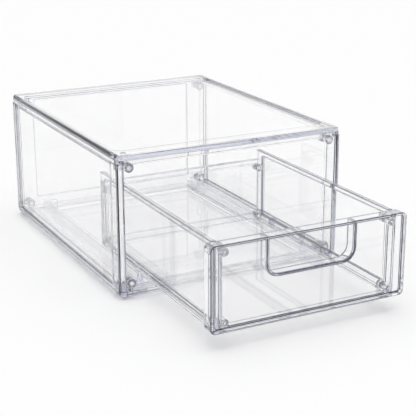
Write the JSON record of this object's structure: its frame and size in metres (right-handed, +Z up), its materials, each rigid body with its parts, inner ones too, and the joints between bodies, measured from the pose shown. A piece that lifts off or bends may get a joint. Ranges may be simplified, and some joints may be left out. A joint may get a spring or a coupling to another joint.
{
  "type": "stackable drawer box",
  "caption": "Clear free-standing drawer box with a recessed top for stacking and a low drawer with a U-shaped finger pull that slides on two runners.",
  "frame": {"origin": "centre of the casing's flat underside, on the surface that the box stands on", "axes": "+X to the right as seen from the front, -Y the way the drawer opens, +Z up"},
  "size_m": [0.225, 0.409, 0.13],
  "materials": {
    "casing_plastic": "clear, polished",
    "drawer_plastic": "clear, polished",
    "pin_plastic": "clear, polished"
  },
  "bodies": {
    "casing": {"top_panel": "casing_plastic", "bottom_panel": "casing_plastic", "left_panel": "casing_plastic", "right_panel": "casing_plastic", "back_panel": "casing_plastic", "front_rail": "casing_plastic", "front_sill": "casing_plastic", "left_runner": "casing_plastic", "right_runner": "casing_plastic", "casing_front_pins": "pin_plastic", "casing_rear_pins": "pin_plastic"},
    "drawer": {"drawer_front": "drawer_plastic", "drawer_left_wall": "drawer_plastic", "drawer_right_wall": "drawer_plastic", "drawer_back_wall": "drawer_plastic", "drawer_floor": "drawer_plastic", "left_stop_clip": "pin_plastic", "right_stop_clip": "pin_plastic", "drawer_front_pins": "pin_plastic", "drawer_rear_pins": "pin_plastic"}
  },
  "joints": [
    {"name": "drawer_slide", "type": "slide", "parent": "casing", "child": "drawer", "axis": [0, -1, 0], "range_m": [-0.131, 0.049]}
  ]
}
